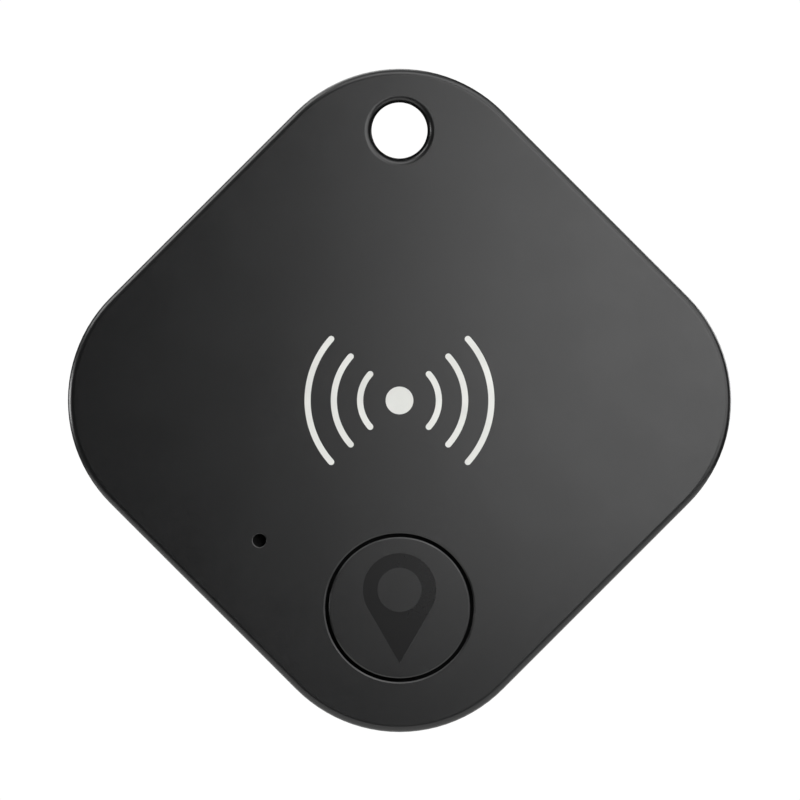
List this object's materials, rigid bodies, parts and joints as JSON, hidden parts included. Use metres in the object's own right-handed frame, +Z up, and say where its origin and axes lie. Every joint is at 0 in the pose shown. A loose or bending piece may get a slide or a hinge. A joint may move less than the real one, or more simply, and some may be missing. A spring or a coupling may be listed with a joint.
{
  "type": "bluetooth tracker tag",
  "caption": "Small diamond-shaped tracker tag with a lanyard hole, a round push button, a sound port and a coin-cell door that twists off its back.",
  "frame": {"origin": "middle of the lanyard hole, halfway through the case", "axes": "+Z up towards the corner with the lanyard hole as the tag hangs, -Y out of the front face with the button, +X to the right seen from the front"},
  "size_m": [0.0454, 0.008, 0.0454],
  "materials": {
    "shell_plastic": "satin black moulded ABS with a very fine grain",
    "button_plastic": "satin black moulded ABS, icon sunk and slightly glossier",
    "seal_rubber": "black silicone",
    "pad_foam": "dark closed-cell foam",
    "dust_mesh": "black woven dust mesh",
    "board_laminate": "green solder mask with copper traces and white outlines",
    "switch_plastic": "black moulded nylon",
    "steel": "bright nickel-plated steel",
    "nickel": "nickel-plated spring strip",
    "buzzer_plastic": "black moulded case",
    "copper": "enamelled copper winding",
    "chip_epoxy": "dark moulded epoxy",
    "ceramic": "tan ceramic with tinned ends",
    "cell_gasket_plastic": "grey polypropylene",
    "cell_pellet": "pressed dark oxide",
    "cell_separator": "white non-woven felt",
    "cell_lithium": "soft grey metal",
    "printed_mark": "off-white pad-printed ink on the front shell"
  },
  "bodies": {
    "case": {"front_shell": "shell_plastic", "rear_shell": "shell_plastic", "sound_port_mesh": "dust_mesh", "main_board": "board_laminate", "switch_base": "switch_plastic", "switch_cover": "steel", "switch_dome": "steel", "buzzer_diaphragm": "steel", "buzzer_core": "steel", "cell_can": "steel", "cell_lid": "steel", "radio_crystal": "steel", "clock_crystal": "steel", "switch_terminal_left": "nickel", "switch_terminal_right": "nickel", "battery_contact_positive": "nickel", "battery_contact_negative": "nickel", "buzzer_case": "buzzer_plastic", "buzzer_coil": "copper", "radio_chip": "chip_epoxy", "buzzer_transistor": "chip_epoxy", "buzzer_diode": "chip_epoxy", "buzzer_resistor": "chip_epoxy", "radio_capacitor_1": "ceramic", "radio_capacitor_2": "ceramic", "radio_capacitor_3": "ceramic", "chip_antenna": "ceramic", "matching_inductor": "ceramic", "matching_capacitor": "ceramic", "bulk_capacitor": "ceramic", "cell_gasket": "cell_gasket_plastic", "cell_pellet": "cell_pellet", "cell_separator": "cell_separator", "cell_lithium": "cell_lithium"},
    "button": {"button_cap": "button_plastic"},
    "plunger": {"switch_plunger": "switch_plastic"},
    "seal": {"battery_door_seal": "seal_rubber"},
    "door": {"battery_door": "shell_plastic", "battery_door_pad": "pad_foam"}
  },
  "joints": [
    {"name": "button_press", "type": "slide", "parent": "case", "child": "button", "axis": [0, 1, 0], "range_m": [0, 0.0003], "stiffness_N_per_m": 6000},
    {"name": "switch_press", "type": "slide", "parent": "case", "child": "plunger", "axis": [0, 1, 0], "range_m": [0, 0.0003], "deforming": ["switch_dome"]},
    {"name": "door_lift", "type": "slide", "parent": "case", "child": "seal", "axis": [0, 1, 0], "range_m": [0, 0.004]},
    {"name": "door_twist", "type": "hinge", "parent": "seal", "child": "door", "pos_m": [0, 0.0036, -0.0169], "axis": [0, 1, 0], "range_deg": [0, 180]}
  ],
  "couplings": [
    {"joint": "switch_press", "follows": "button_press", "ratio": 1},
    {"joint": "door_lift", "follows": "door_twist", "m_per_rad": 0.0012732}
  ]
}
